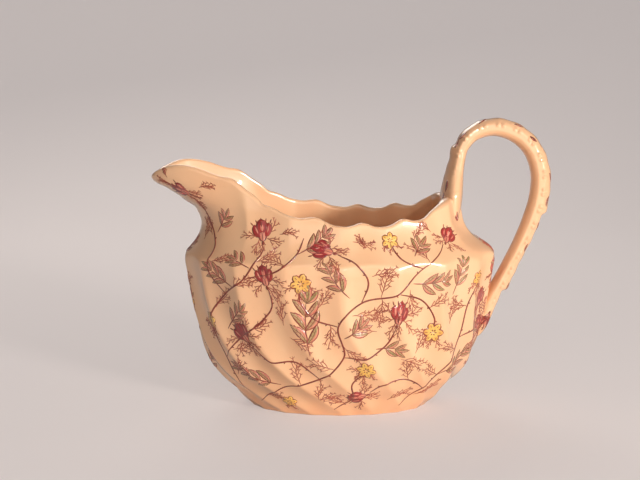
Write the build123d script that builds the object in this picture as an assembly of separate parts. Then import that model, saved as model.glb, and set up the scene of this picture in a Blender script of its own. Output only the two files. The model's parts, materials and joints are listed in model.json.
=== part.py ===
from build123d import *
import math
import os

# A cream jug of glazed china: a swirl-fluted oval bowl with a scalloped neck, a broad
# helmet-shaped pouring lip, an applied loop handle and a low foot ring.
# Millimetres. X runs from the lip (-X) to the handle (+X), Y across the jug, Z up from
# the table. The origin is the centre of the jug's footprint box, on the table.

# ---- Driving dimensions ----
BODY_X = -3.6               # middle of the bowl: the loop reaches further out than the lip
FLUTES = 18                 # concave flutes round the bowl, with a ridge between each two
SWIRL_DEG = 43.0            # turn of the ridges between the shoulder and the foot
SWIRL_TOP = 48.0            # height under which the ridges begin to turn
SWIRL_POWER = 2.3           # the turn tightens towards the foot
SEAM = 0.4                  # thickness of the slip between two luted pieces
LIP_FROM = 0.55             # share of the neck's reach at which the lip begins to be pulled out
LIP_PULL = 17.2             # how far the lip is pulled out beyond the neck
LIP_SQUEEZE = 0.12          # how much narrower the neck is where the lip is pulled out
LIP_SHOULDER = 0.5          # share of the neck's reach over which it narrows
LIP_JOINT_AT = (-48.6, 63.4)  # a point of the lip's joint, at the throat of the neck
LIP_JOINT_DEG = 22.3        # the joint's climb from the throat to the rim
FOOT_HEIGHT = 2.4           # height of the foot ring
FOOT_RECESS = (25.4, 12.9)  # half length and half width of the hollow inside the ring
RIM_CLEAR_TOP = 104.0       # the space above the rim is cleared up to here
HALF_SPACE = 150.0          # half size of the blocks that trim the shapes
QUARTER_ARC = 0.5523        # length of a quarter circle's control arm, for radius 1

# Rings of the outside, from the table to above the rim: height, reach towards the lip,
# reach towards the handle, half depth, flute depth, pull of the lip beyond its ring.
OUTSIDE = [
    (0.0, 29.8, 29.8, 16.6, 0.45, 0.0),
    (3.2, 34.0, 34.0, 19.6, 0.55, 0.0),
    (7.0, 37.3, 37.3, 22.2, 0.65, 0.0),
    (11.5, 42.0, 42.0, 25.6, 0.80, 0.0),
    (17.0, 45.8, 45.8, 28.4, 0.95, 0.0),
    (24.0, 48.6, 48.6, 30.6, 1.10, 0.0),
    (32.5, 50.6, 50.6, 32.3, 1.25, 0.0),
    (42.0, 52.3, 52.3, 33.7, 1.35, 0.0),
    (49.5, 53.5, 53.5, 34.7, 1.15, 0.0),
    (53.4, 53.9, 53.9, 34.9, 0.90, 0.0),
    (56.0, 52.6, 52.5, 33.6, 0.80, 0.0),
    (59.4, 49.7, 48.9, 30.9, 0.80, 0.0),
    (63.5, 48.0, 44.6, 29.1, 0.75, 0.0),
    (68.5, 48.2, 41.4, 28.1, 0.70, 0.8),
    (73.0, 48.4, 40.6, 28.2, 0.60, 5.6),
    (77.0, 48.6, 40.8, 28.6, 0.50, 11.6),
    (80.2, 48.8, 41.0, 28.8, 0.35, 16.4),
    (83.5, 49.4, 41.2, 29.0, 0.30, 17.2),
    (90.0, 49.6, 41.4, 29.4, 0.25, 17.2),
]

# Rings of the inside, in the same terms, from the floor of the bowl to above the rim.
INSIDE = [
    (6.6, 31.0, 31.0, 17.0, 0.15, 0.0),
    (8.6, 34.6, 34.6, 20.2, 0.20, 0.0),
    (13.0, 40.0, 40.0, 24.2, 0.25, 0.0),
    (18.5, 43.6, 43.6, 26.5, 0.30, 0.0),
    (26.0, 46.2, 46.2, 28.4, 0.35, 0.0),
    (36.0, 48.4, 48.4, 30.0, 0.40, 0.0),
    (46.0, 50.1, 50.1, 31.3, 0.45, 0.0),
    (52.0, 50.6, 50.6, 31.7, 0.45, 0.0),
    (57.0, 48.2, 47.9, 29.5, 0.45, 0.0),
    (63.5, 45.3, 41.8, 26.6, 0.45, 0.0),
    (68.5, 45.4, 38.2, 25.7, 0.45, 0.3),
    (73.0, 45.5, 35.6, 25.8, 0.40, 4.2),
    (78.0, 45.6, 34.8, 26.2, 0.35, 11.0),
    (82.0, 45.7, 34.6, 26.6, 0.30, 16.8),
    (91.0, 45.9, 34.4, 27.0, 0.25, 18.2),
]

# The rim seen from the side, in X and Z from the middle of the bowl: the smooth edge of
# the lip, then a valley at each ridge of the neck with a bump between, then the step on
# which the handle stands.
LIP_EDGE = [(-74.0, 77.0), (-66.2, 80.9), (-61.3, 83.9), (-55.0, 85.4), (-48.5, 84.4),
            (-42.0, 81.6)]
RIM_VALLEYS = [(-42.0, 81.6), (-33.4, 77.8), (-26.2, 72.3), (-13.2, 69.0), (0.0, 67.0),
               (13.2, 66.4), (24.9, 67.8), (31.6, 70.2)]
RIM_BUMPS = [(-37.8, 81.0), (-29.8, 75.6), (-19.6, 71.6), (-6.7, 69.2), (6.7, 67.9),
             (19.3, 68.4), (28.4, 69.7)]
HANDLE_STEP = (34.4, 72.6)

# The middle line of the handle, in X and Z from the middle of the bowl, with the strap's
# thickness and width at each point, from its root on the neck round to its lower tail.
HANDLE = [
    (41.0, 62.5, 3.0, 15.0),
    (39.4, 68.0, 6.0, 17.0),
    (38.7, 73.5, 7.2, 14.5),
    (39.5, 79.5, 6.6, 11.5),
    (40.7, 85.5, 5.5, 9.8),
    (42.2, 91.0, 5.5, 9.2),
    (46.2, 95.4, 6.2, 9.0),
    (53.0, 97.2, 6.8, 9.0),
    (60.3, 95.1, 7.1, 9.0),
    (66.1, 89.8, 7.3, 9.0),
    (69.1, 82.0, 7.4, 9.0),
    (68.7, 73.5, 7.0, 9.0),
    (66.5, 65.5, 6.4, 9.0),
    (63.2, 57.8, 6.0, 8.8),
    (59.4, 50.2, 5.7, 8.5),
    (55.7, 42.6, 5.6, 8.2),
    (52.8, 35.4, 5.4, 7.8),
    (51.2, 29.4, 4.6, 6.4),
    (50.5, 26.9, 2.2, 3.0),
]


def swirl(height):
    """Turn of the ridges at a height, in degrees."""
    below = max(0.0, 1.0 - height / SWIRL_TOP)
    return SWIRL_DEG * below ** SWIRL_POWER


def smooth_step(t):
    """An even climb from 0 to 1, level at both ends."""
    t = min(1.0, max(0.0, t))
    return t * t * (3.0 - 2.0 * t)


def ring_point(ring, angle_deg, inset):
    """The point of a ring at an angle round the oval, moved inward by inset."""
    height, lip_reach, handle_reach, half_depth, _, pull = ring
    turn = math.radians(angle_deg)
    toward_lip = -math.cos(turn)
    reach = lip_reach if toward_lip > 0 else handle_reach
    pulled = pull * smooth_step((toward_lip - LIP_FROM) / (1.0 - LIP_FROM))
    narrowing = LIP_SQUEEZE * pull / LIP_PULL * smooth_step(toward_lip / LIP_SHOULDER)
    x = -(reach - inset) * toward_lip - pulled
    y = (half_depth - inset) * math.sin(turn) * (1.0 - narrowing)
    return Vector(BODY_X + x, y, height)


def bulge_controls(start, middle, end):
    """The start and the control point of a shallow arc that passes through middle."""
    return [start, middle * 2 - (start + end) * 0.5]


def bulge(start, middle, end):
    """A shallow arc from start to end that passes through middle."""
    return Edge.make_bezier(*bulge_controls(start, middle, end), end)


def climb(points, gaps):
    """A smooth run through points: for each gap, its start, two controls and its end."""
    steps = [(points[i + 1] - points[i]) * (1 / gap) for i, gap in enumerate(gaps)]
    slopes = [steps[0]]
    for i in range(1, len(steps)):
        before, after = gaps[i - 1], gaps[i]
        slopes.append((steps[i - 1] * after + steps[i] * before) * (1 / (before + after)))
    slopes.append(steps[-1])
    runs = []
    for i, gap in enumerate(gaps):
        leave = points[i] + slopes[i] * (gap / 3)
        arrive = points[i + 1] - slopes[i + 1] * (gap / 3)
        runs.append([points[i], leave, arrive, points[i + 1]])
    return runs


def skin(rows, gaps, controls_each):
    """A solid skinned over closed rows of controls, with controls_each in every arc."""
    count = len(rows[0])
    columns = [climb([row[k] for row in rows], gaps) for k in range(count)]
    arcs = [
        [(start + k) % count for k in range(controls_each + 1)]
        for start in range(0, count, controls_each)
    ]
    faces = [
        Face.make_bezier_surface([columns[k][step] for k in arc])
        for arc in arcs
        for step in range(len(gaps))
    ]
    for row in (rows[0], rows[-1]):
        edges = [Edge.make_bezier(*[row[k] for k in arc]) for arc in arcs]
        faces.append(Face(Wire(edges)))
    return Solid(Shell(faces))


def fluted_row(ring, grow):
    """Controls round a ring: a hollow arc for each flute, from ridge to ridge."""
    height, flute_depth = ring[0], ring[4]
    pitch = 360.0 / FLUTES
    first = swirl(height) - 90.0
    row = []
    for flute in range(FLUTES):
        start = first + flute * pitch
        row += bulge_controls(
            ring_point(ring, start, -grow),
            ring_point(ring, start + pitch / 2, flute_depth - grow),
            ring_point(ring, start + pitch, -grow),
        )
    return row


def fluted_solid(rings, grow=0.0):
    gaps = [upper[0] - lower[0] for lower, upper in zip(rings, rings[1:])]
    return skin([fluted_row(ring, grow) for ring in rings], gaps, 2)


def from_bowl(points, lift=0.0):
    """Side-view points, measured from the middle of the bowl, as points in space."""
    return [Vector(BODY_X + x, 0, z + lift) for x, z in points]


def above_rim(lift=0.0):
    """All that is above the rim, seen from the side, right across the jug."""
    lip = Edge.make_spline(from_bowl(LIP_EDGE, lift))
    valleys = from_bowl(RIM_VALLEYS, lift)
    bumps = from_bowl(RIM_BUMPS, lift)
    scallops = [
        bulge(valleys[i], bumps[i], valleys[i + 1])
        for i in range(len(bumps))
    ]
    left = from_bowl(LIP_EDGE, lift)[0]
    step = from_bowl([HANDLE_STEP], lift)[0]
    closing = Polyline(
        valleys[-1],
        step,
        (HALF_SPACE, 0, step.Z),
        (HALF_SPACE, 0, RIM_CLEAR_TOP),
        (left.X, 0, RIM_CLEAR_TOP),
        left,
    )
    face = Face(Wire([lip] + scallops + closing.edges()))
    across = Solid.extrude(face, Vector(0, 2 * HALF_SPACE, 0))
    return across.moved(Location((0, -HALF_SPACE, 0)))


def oval_row(centre, thick_way, wide_way):
    """Controls of an oval, as four quarter arcs, from its two half-axis vectors."""
    row = []
    ways = [thick_way, wide_way, thick_way * -1, wide_way * -1]
    for i, way in enumerate(ways):
        after = ways[(i + 1) % len(ways)]
        row += [
            centre + way,
            centre + way + after * QUARTER_ARC,
            centre + way * QUARTER_ARC + after,
        ]
    return row


def handle_strap():
    """The whole strap: oval sections square to its middle line."""
    points = from_bowl([(x, z) for x, z, _, _ in HANDLE])
    middle = Spline(*points)
    rows = []
    for point, (_, _, thickness, width) in zip(points, HANDLE):
        along = middle % middle.param_at_point(point)
        thick_way = Vector(along.Z, 0, -along.X) * (thickness / 2)
        rows.append(oval_row(point, thick_way, Vector(0, width / 2, 0)))
    gaps = [(after - before).length for before, after in zip(points, points[1:])]
    return skin(rows, gaps, 3)


def slice_of_space(bottom, top):
    """A flat slice of space between two heights."""
    size = 2 * HALF_SPACE
    return Pos(0, 0, (bottom + top) / 2) * Box(size, size, top - bottom)


def beyond_lip_joint(offset):
    """The space on the lip's side of its slanting joint, moved up by offset."""
    x, z = LIP_JOINT_AT
    size = 2 * HALF_SPACE
    block = Box(size, size, size, align=(Align.CENTER, Align.CENTER, Align.MIN))
    return Pos(BODY_X + x, 0, z) * Rot(0, -LIP_JOINT_DEG, 0) * Pos(0, 0, offset) * block


def body_pieces(filled):
    """The bowl with its neck, the foot ring, the lip, and the slip in their joints."""
    inside = fluted_solid(INSIDE)
    recess = Pos(BODY_X, 0, 0) * extrude(Ellipse(*FOOT_RECESS), amount=FOOT_HEIGHT + SEAM)
    below = slice_of_space(-HALF_SPACE, FOOT_HEIGHT)
    joint = slice_of_space(FOOT_HEIGHT, FOOT_HEIGHT + SEAM)
    shell = filled - inside
    foot = shell & below
    foot_joint = shell & joint
    upper = shell - slice_of_space(-HALF_SPACE, FOOT_HEIGHT + SEAM)
    lip_side = beyond_lip_joint(SEAM)
    lip_and_joint = beyond_lip_joint(0)
    return {
        "bowl": upper - lip_and_joint,
        "pouring_lip": upper & lip_side,
        "lip_slip_seam": (upper & lip_and_joint) - lip_side,
        "foot_ring": foot - recess,
        "foot_slip_seam": foot_joint - recess,
    }


def handle_pieces(filled):
    """The handle and the two pads of slip that lute it to the neck and the bowl."""
    strap = handle_strap()
    grown = fluted_solid(OUTSIDE, SEAM) - above_rim(SEAM)
    pads = ((strap & grown) - filled).solids().sort_by(Axis.Z)
    outer_parts = (strap - grown).solids().sort_by(SortBy.VOLUME)
    return {
        "handle": outer_parts[-1],
        "handle_lower_slip": pads[0],
        "handle_upper_slip": pads[-1],
    }


os.makedirs("parts", exist_ok=True)
filled = fluted_solid(OUTSIDE) - above_rim()
nodes = body_pieces(filled)
nodes.update(handle_pieces(filled))
for name, shape in nodes.items():
    export_step(shape, "parts/" + name + ".step")
    print(name, len(shape.solids()), "solid,", round(shape.volume, 1), "mm3")
box = Compound(list(nodes.values())).bounding_box()
print("overall", box.size, "middle", box.center())
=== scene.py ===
import json
import math
import random
import bpy
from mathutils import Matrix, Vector
from mathutils.bvhtree import BVHTree

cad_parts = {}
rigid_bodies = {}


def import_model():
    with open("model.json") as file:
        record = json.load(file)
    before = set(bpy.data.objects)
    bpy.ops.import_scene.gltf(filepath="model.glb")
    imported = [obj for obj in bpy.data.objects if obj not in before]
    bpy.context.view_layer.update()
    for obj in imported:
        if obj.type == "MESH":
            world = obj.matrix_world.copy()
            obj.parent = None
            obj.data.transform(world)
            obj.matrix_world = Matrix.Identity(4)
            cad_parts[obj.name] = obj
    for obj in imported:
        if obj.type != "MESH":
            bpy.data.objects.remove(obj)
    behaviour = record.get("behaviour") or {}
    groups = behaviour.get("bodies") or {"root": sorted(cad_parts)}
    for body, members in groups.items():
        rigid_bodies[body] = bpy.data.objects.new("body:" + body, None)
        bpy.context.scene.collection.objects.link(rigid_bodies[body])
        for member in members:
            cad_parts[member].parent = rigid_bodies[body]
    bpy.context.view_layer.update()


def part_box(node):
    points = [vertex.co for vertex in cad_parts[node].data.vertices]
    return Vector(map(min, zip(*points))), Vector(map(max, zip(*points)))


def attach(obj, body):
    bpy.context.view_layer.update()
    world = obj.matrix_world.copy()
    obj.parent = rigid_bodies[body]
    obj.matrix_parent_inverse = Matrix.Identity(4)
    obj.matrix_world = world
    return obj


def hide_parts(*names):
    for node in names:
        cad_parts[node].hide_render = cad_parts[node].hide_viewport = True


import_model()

# ---- Bowl, neck, pouring lip and foot ---------------------------------------------
# The cast body of the jug: an oval bowl whose concave flutes swirl towards the foot, a
# waisted neck, a scalloped rim and a helmet-shaped lip. The lip and the foot ring are
# luted on with slip, and the joints vanish under one coat of ivory glaze.
MM = 0.001
bowl_low, bowl_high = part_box("bowl")
BOWL_X = (bowl_low[0] + bowl_high[0]) / 2 / MM
SHOULDER = 53.6
ARCH_TOP = 60.0             # above this height the flutes' arches have ended
FLUTES = 18
SWIRL_DEG, SWIRL_TOP, SWIRL_POWER = 43.0, 48.0, 2.3
LIP_FROM = 0.55             # share of the neck's reach at which the lip is pulled out
LIP_SQUEEZE, LIP_SHOULDER = 0.12, 0.5
RIM_ROUND = 1.15

# Profiles by height, all in mm: the reach of the ridges, the same both ways up to the
# shoulder and then parted towards the lip and the handle, and the half depth.
BOWL_REACH = [
    (0, 29.8), (3.2, 34.0), (7, 37.3), (11.5, 42.0), (17, 45.8), (24, 48.6), (32.5, 50.6),
    (42, 52.3), (49, 53.4), (52.6, 53.9),
]
LIP_REACH = BOWL_REACH + [
    (54.2, 53.5), (56, 51.9), (59.4, 49.4), (63.5, 47.9), (68.5, 48.1), (73, 48.3),
    (80.2, 48.6), (83, 48.8), (90, 48.8),
]
HANDLE_REACH = BOWL_REACH + [
    (54.6, 53.6), (56.2, 52.4), (57.6, 50.6), (59.4, 47.9), (61.4, 45.6), (65, 43.3),
    (68.5, 42.4), (73, 41.8), (90, 41.8),
]
HALF_DEPTH = [
    (0, 16.6), (3.2, 19.6), (7, 22.2), (11.5, 25.6), (17, 28.4), (24, 30.6), (32.5, 32.3),
    (42, 33.7), (49, 34.6), (52.6, 34.9), (54.2, 34.5), (56, 33.0), (59.4, 30.7),
    (63.5, 29.0), (68.5, 28.1), (73, 28.2), (90, 29.4),
]
# How far the lip is pulled out beyond the neck, and the share of its narrowing.
LIP_PULL = [
    (0, 0), (64, 0), (66, 0.15), (68.5, 0.8), (73, 5.6), (77, 11.6), (80.2, 16.2), (83, 17.0),
    (100, 17.0),
]
LIP_NARROWING = [(0, 0), (60, 0), (68.5, 0.1), (73, 0.4), (78, 0.8), (82, 1), (100, 1)]
FLUTE_DEPTH = [
    (0, 0.6), (7, 0.9), (17, 1.3), (30, 1.65), (42, 1.6), (50, 1.15), (56, 0.8), (100, 0.8),
]
NECK_FLUTE = [(0, 0), (56, 0), (60, 0.35), (66, 0.8), (72, 0.9), (100, 0.9)]
# The wall's thickness, thicker at the floor and where the handle stands on the rim.
WALL = [(0, 4.2), (8, 3.4), (20, 2.5), (60, 2.5), (68, 2.4), (100, 2.2)]
LIP_SLANT_WALL = [(0, 0), (64, 0), (72, 1.7), (78, 2.2), (84, 0.4), (100, 0)]
HANDLE_WALL = [(0, 0), (62, 0), (72, 3.2), (100, 3.6)]
# The rim's height by the cosine round the oval: -1 at the lip's tip, 1 at the handle.
RIM_LINE = [
    (-1, 81.0), (-0.93, 83.9), (-0.86, 85.4), (-0.797, 84.4), (-0.755, 82.7), (-0.73, 81.9),
    (-0.70, 81.5), (-0.675, 80.3), (-0.65, 78.3), (-0.62, 76.7), (-0.59, 75.3), (-0.556, 73.3),
    (-0.5, 71.8), (-0.427, 71.0), (-0.33, 69.9), (-0.206, 68.8), (-0.12, 68.0), (0, 67.2),
    (0.15, 66.8), (0.31, 66.8), (0.46, 67.5), (0.6, 68.2), (0.7, 69.2), (0.756, 70.3),
    (0.80, 71.3), (0.84, 72.3), (0.88, 73.2), (0.93, 73.8), (1, 74.0),
]
RIM_WAVE = [(-1, 0), (-0.66, 0), (-0.56, 0.35), (-0.42, 0.62), (0.6, 0.62), (0.78, 0.1), (1, 0)]
PROFILE_SPAN = 100.0        # heights and reaches are read off curves that run from 0 to 100


class Wire:
    """A node socket that adds, multiplies and compares as a number or vector does."""

    def __init__(self, tree, socket):
        self.tree = tree
        self.socket = socket

    def make(self, kind, settings=None, values=None, out=0):
        """Adds a node with these settings and input values, and gives one output."""
        node = self.tree.nodes.new(kind)
        for name, value in (settings or {}).items():
            setattr(node, name, value)
        for key, value in (values or {}).items():
            if isinstance(value, Wire):
                value.into(node, key)
            else:
                node.inputs[key].default_value = value
        return Wire(self.tree, node.outputs[out])

    def geo(self, kind, values=None, out=0):
        """Adds a Geometry Nodes node that needs no settings."""
        return self.make("GeometryNode" + kind, None, values, out)

    def into(self, node, key):
        """Feeds one input of a node."""
        self.tree.links.new(self.socket, node.inputs[key])

    def math(self, operation, *values):
        return self.make("ShaderNodeMath", {"operation": operation}, dict(enumerate(values)))

    def pair(self, operation, first, second):
        if "VECTOR" not in [w.socket.type for w in (first, second) if isinstance(w, Wire)]:
            return self.math(operation, first, second)
        values = [self.spread(w) for w in (first, second)]
        return self.make("ShaderNodeVectorMath", {"operation": operation}, dict(enumerate(values)))

    def spread(self, value):
        """A number as a vector of three equal parts."""
        return (value,) * 3 if isinstance(value, (int, float)) else value

    def __add__(self, other):
        return self.pair("ADD", self, other)

    def __radd__(self, other):
        return self.pair("ADD", other, self)

    def __sub__(self, other):
        return self.pair("SUBTRACT", self, other)

    def __rsub__(self, other):
        return self.pair("SUBTRACT", other, self)

    def __mul__(self, other):
        return self.pair("MULTIPLY", self, other)

    def __rmul__(self, other):
        return self.pair("MULTIPLY", other, self)

    def __truediv__(self, other):
        return self.pair("DIVIDE", self, other)

    def __rtruediv__(self, other):
        return self.pair("DIVIDE", other, self)

    def __pow__(self, other):
        return self.math("POWER", self, other)

    def __lt__(self, other):
        return self.math("LESS_THAN", self, other)

    def clamp(self):
        """The number held between 0 and 1."""
        return self.math("MINIMUM", self.math("MAXIMUM", self, 0), 1)

    def sin(self):
        return self.math("SINE", self)

    def cos(self):
        return self.math("COSINE", self)

    def parts(self):
        """The three components of a vector."""
        node = self.tree.nodes.new("ShaderNodeSeparateXYZ")
        self.into(node, 0)
        return [Wire(self.tree, output) for output in node.outputs]

    def vector(self, x, y, z):
        return self.make("ShaderNodeCombineXYZ", None, {0: x, 1: y, 2: z})

    def curve(self, points, low, high, top, straight=False):
        """Reads a curve whose points run from low to high and from 0 to top."""
        node = self.tree.nodes.new("ShaderNodeFloatCurve")
        line = node.mapping.curves[0]
        spots = [((x - low) / (high - low), y / top) for x, y in points]
        if spots[-1][0] < 1:
            spots.append((1.0, spots[-1][1]))
        while len(line.points) < len(spots):
            line.points.new(0.5, 0.5)
        for point, spot in zip(line.points, spots):
            point.location = spot
            point.handle_type = "VECTOR" if straight else "AUTO"
        node.mapping.use_clip = not straight
        node.mapping.update()
        ((self - low) / (high - low)).into(node, "Value")
        return Wire(self.tree, node.outputs[0]) * top

    def noise(self, scale, detail):
        """Cloudy noise, read at these coordinates."""
        return self.make("ShaderNodeTexNoise", None, {"Vector": self, "Scale": scale, "Detail": detail})

    def mix(self, first, second):
        """Blends two colours by this factor."""
        return self.make("ShaderNodeMix", {"data_type": "RGBA"}, {0: self, 6: first, 7: second}, 2)


def add_object(name, data):
    """A new object in the scene that carries a mesh, a line, a lamp or a lens."""
    item = bpy.data.objects.new(name, data)
    bpy.context.scene.collection.objects.link(item)
    return item


def new_rule(name, inputs):
    """A Geometry Nodes tree with named inputs, which it gives by name."""
    tree = bpy.data.node_groups.new(name, "GeometryNodeTree")
    for label, kind in inputs.items():
        tree.interface.new_socket(label, in_out="INPUT", socket_type="NodeSocket" + kind)
    tree.interface.new_socket("Geometry", in_out="OUTPUT", socket_type="NodeSocketGeometry")
    source = tree.nodes.new("NodeGroupInput")
    return tree, {label: Wire(tree, source.outputs[label]) for label in inputs}


def end_rule(geometry, material):
    """Ends a tree: real geometry, smooth, with its material."""
    solid = geometry.geo("RealizeInstances", {"Geometry": geometry})
    smooth = solid.geo("SetShadeSmooth", {"Geometry": solid})
    done = smooth.geo("SetMaterial", {"Geometry": smooth, "Material": material})
    done.into(done.tree.nodes.new("NodeGroupOutput"), 0)


def run_rule(name, tree, values, start=None):
    """Runs a tree once and keeps what it makes as a plain mesh at the origin."""
    piece = add_object(name, start or bpy.data.meshes.new(name))
    rule = piece.modifiers.new("rule", "NODES")
    rule.node_group = tree
    for item in tree.interface.items_tree:
        if item.item_type == "SOCKET" and item.in_out == "INPUT" and item.name in values:
            rule[item.identifier] = values[item.name]
    graph = bpy.context.evaluated_depsgraph_get()
    made = bpy.data.meshes.new_from_object(piece.evaluated_get(graph), depsgraph=graph)
    piece.modifiers.clear()
    piece.data = made
    made.name = name
    return piece


def body_rule():
    tree, given = new_rule("fluted_body", {
        "Columns": "Int", "Rows": "Int", "Flutes": "Float", "Swirl": "Float",
        "Swirl Top": "Float", "Swirl Power": "Float", "Ridge Softness": "Float",
        "Glaze": "Material",
    })
    first = given["Columns"]
    tube = first.make("GeometryNodeMeshCylinder", {"fill_type": "NGON"}, {
        "Vertices": given["Columns"], "Side Segments": given["Rows"],
        "Radius": 1.0, "Depth": 1.0,
    })
    x, y, z = first.geo("InputPosition").parts()
    along = z + 0.5
    column = first.math("ARCTAN2", y, x) * (180 / math.pi)

    # The rows run from the middle of the foot's recess out and up the outside, over the
    # rim and down the inside to the middle of the floor.
    RECESS, FOOT, OUTSIDE, RIM, INSIDE = 0.05, 0.11, 0.68, 0.73, 0.95
    recess = (along / RECESS).clamp()
    foot = ((along - RECESS) / (FOOT - RECESS)).clamp()
    outside = ((along - FOOT) / (OUTSIDE - FOOT)).clamp()
    over = ((along - OUTSIDE) / (RIM - OUTSIDE)).clamp()
    inside = ((along - RIM) / (INSIDE - RIM)).clamp()
    floor = ((along - INSIDE) / (1 - INSIDE)).clamp()

    # The rim's wave has a broad valley at each ridge of the neck and a narrow crest between.
    CREST_SHARPNESS = 0.22
    neck_turn = column * (math.pi / 180)
    rim_wave = neck_turn.cos().curve(RIM_WAVE, -1, 1, 1)
    neck_phase = (column + 90) / (360 / given["Flutes"])
    rim = neck_turn.cos().curve(RIM_LINE, -1, 1, PROFILE_SPAN) - RIM_ROUND
    sharper = (neck_phase * (4 * math.pi)).cos() * CREST_SHARPNESS
    rim = rim - rim_wave * ((neck_phase * (2 * math.pi)).cos() - sharper)

    LEVEL_SHARE, LEVEL_TOP, FOOT_EDGE = 0.68, 58.0, 0.9
    low_part = (outside / LEVEL_SHARE).clamp()
    high_part = ((outside - LEVEL_SHARE) / (1 - LEVEL_SHARE)).clamp()
    height = FOOT_EDGE + low_part * (LEVEL_TOP - FOOT_EDGE) + high_part * (rim - LEVEL_TOP)

    def flute_gap(phase):
        """How far from a ridge to the middle of a flute, 0 to 0.5, softened at the ridge."""
        whole = phase.math("FLOOR", phase)
        gap = 0.5 - first.math("ABSOLUTE", phase - whole - 0.5)
        soft = given["Ridge Softness"]
        return first.math("SQRT", gap * gap + soft * soft) - soft

    turn_left = (1 - height / given["Swirl Top"]).clamp()
    swirl = given["Swirl"] * turn_left ** given["Swirl Power"]
    turn = (column + swirl) * (math.pi / 180)
    gap = flute_gap(neck_phase)
    hollow = 4 * gap * (1 - gap)
    body_flute = hollow * height.curve(FLUTE_DEPTH, 0, PROFILE_SPAN, 10)
    plain_lip = ((-1 * turn.cos() - 0.62) * 4).clamp()
    neck_flute = hollow * height.curve(NECK_FLUTE, 0, PROFILE_SPAN, 10) * (1 - plain_lip)

    ARCH_SOFTNESS, ROOT_FROM = 0.35, 0.72

    def outline(at_turn, at_height, bowl_hollow, neck_hollow, inset=None):
        """A point of the oval outline at a height, set in by a wall's thickness if given."""
        lipwards = -1 * at_turn.cos()
        on_lip = (lipwards * 1e4).clamp()
        lip = at_height.curve(LIP_REACH, 0, PROFILE_SPAN, PROFILE_SPAN)
        handle = at_height.curve(HANDLE_REACH, 0, PROFILE_SPAN, PROFILE_SPAN)
        depth = at_height.curve(HALF_DEPTH, 0, PROFILE_SPAN, PROFILE_SPAN)
        # Each flute is a channel that runs on up through the shoulder, where it ends in an
        # arch as the neck turns in.
        upright = at_height.math("MINIMUM", at_height, SHOULDER - 1)
        above_arch = first.math("MAXIMUM", at_height - ARCH_TOP, 0) * 3
        bowl_reach = upright.curve(HANDLE_REACH, 0, PROFILE_SPAN, PROFILE_SPAN) + above_arch
        bowl_depth = upright.curve(HALF_DEPTH, 0, PROFILE_SPAN, PROFILE_SPAN) + above_arch
        reach = handle + on_lip * (lip - handle)
        reach = first.math("SMOOTH_MIN", reach, bowl_reach - bowl_hollow, ARCH_SOFTNESS) - neck_hollow
        depth = first.math("SMOOTH_MIN", depth, bowl_depth - bowl_hollow, ARCH_SOFTNESS) - neck_hollow
        pull = at_height.curve(LIP_PULL, 0, PROFILE_SPAN, 20)
        if inset is not None:
            root = at_height.curve(HANDLE_WALL, 0, PROFILE_SPAN, 10)
            reach = reach - inset - root * ((-1 * lipwards - ROOT_FROM) * 4).clamp()
            depth = depth - inset
            pull = pull - at_height.curve(LIP_SLANT_WALL, 0, PROFILE_SPAN, 10)
        out = ((lipwards - LIP_FROM) / (1 - LIP_FROM)).clamp()
        pulled = pull * out * out * (3 - 2 * out)
        part = (lipwards / LIP_SHOULDER).clamp()
        ease = part * part * (3 - 2 * part)
        narrow = at_height.curve(LIP_NARROWING, 0, PROFILE_SPAN, 1) * ease * LIP_SQUEEZE
        across = depth * at_turn.sin() * (1 - narrow)
        return first.vector(reach * at_turn.cos() - pulled + BOWL_X, across, at_height)

    outer = outline(turn, height, body_flute, neck_flute)

    # The underside: a shallow recess inside a rounded foot ring.
    RECESS_LENGTH, RECESS_DEPTH, RECESS_HIGH = 25.4, 12.9, 1.7
    POLE = 0.04             # the smallest ring, round the middle, as a share of the widest
    opening = POLE + (1 - POLE) * recess
    recess_edge = first.vector(
        RECESS_LENGTH * turn.cos() * opening + BOWL_X, RECESS_DEPTH * turn.sin() * opening,
        RECESS_HIGH)
    ring_line = [(0, RECESS_HIGH), (0.1, 0.3), (0.22, 0), (0.74, 0), (0.9, 0.18), (1, FOOT_EDGE)]
    ox, oy, _ = outer.parts()
    rx, ry, _ = recess_edge.parts()
    under = first.vector(rx + foot * (ox - rx), ry + foot * (oy - ry), foot.curve(ring_line, 0, 1, 10))

    # The inside follows the outside at the wall's thickness, and only hints at the flutes.
    FLOOR_TOP, CORNER_TOP, CORNER_RISE, CORNER_FILL = 6.6, 16, 10, 3
    FLUTE_HINT, NECK_HINT = 0.55, 0.6
    inner_height = rim - inside * (rim - FLOOR_TOP)
    wall = inner_height.curve(WALL, 0, PROFILE_SPAN, 10)
    corner = ((CORNER_TOP - inner_height) / CORNER_RISE).clamp()
    neck_hint = inner_height.curve(NECK_FLUTE, 0, PROFILE_SPAN, 10) * hollow * NECK_HINT
    inner = outline(neck_turn, inner_height, hollow * FLUTE_HINT, neck_hint,
                    wall + corner * corner * CORNER_FILL)
    ix, iy, iz = inner.parts()
    floor_pull = 1 - floor * (1 - POLE)
    inner_floor = first.vector((ix - BOWL_X) * floor_pull + BOWL_X, iy * floor_pull, iz)

    # The rim is a half round from the outside over to the inside.
    middle = (outer + inner) * 0.5
    half = (outer - inner) * 0.5
    swing = over * math.pi
    hx, hy, _ = half.parts()
    mx, my, mz = middle.parts()
    rounded = first.vector(mx + hx * swing.cos(), my + hy * swing.cos(), mz + swing.sin() * RIM_ROUND)

    def choose(limit, below, above):
        return first.make("GeometryNodeSwitch", {"input_type": "VECTOR"},
                          {"Switch": along < limit, "False": above, "True": below})

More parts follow.
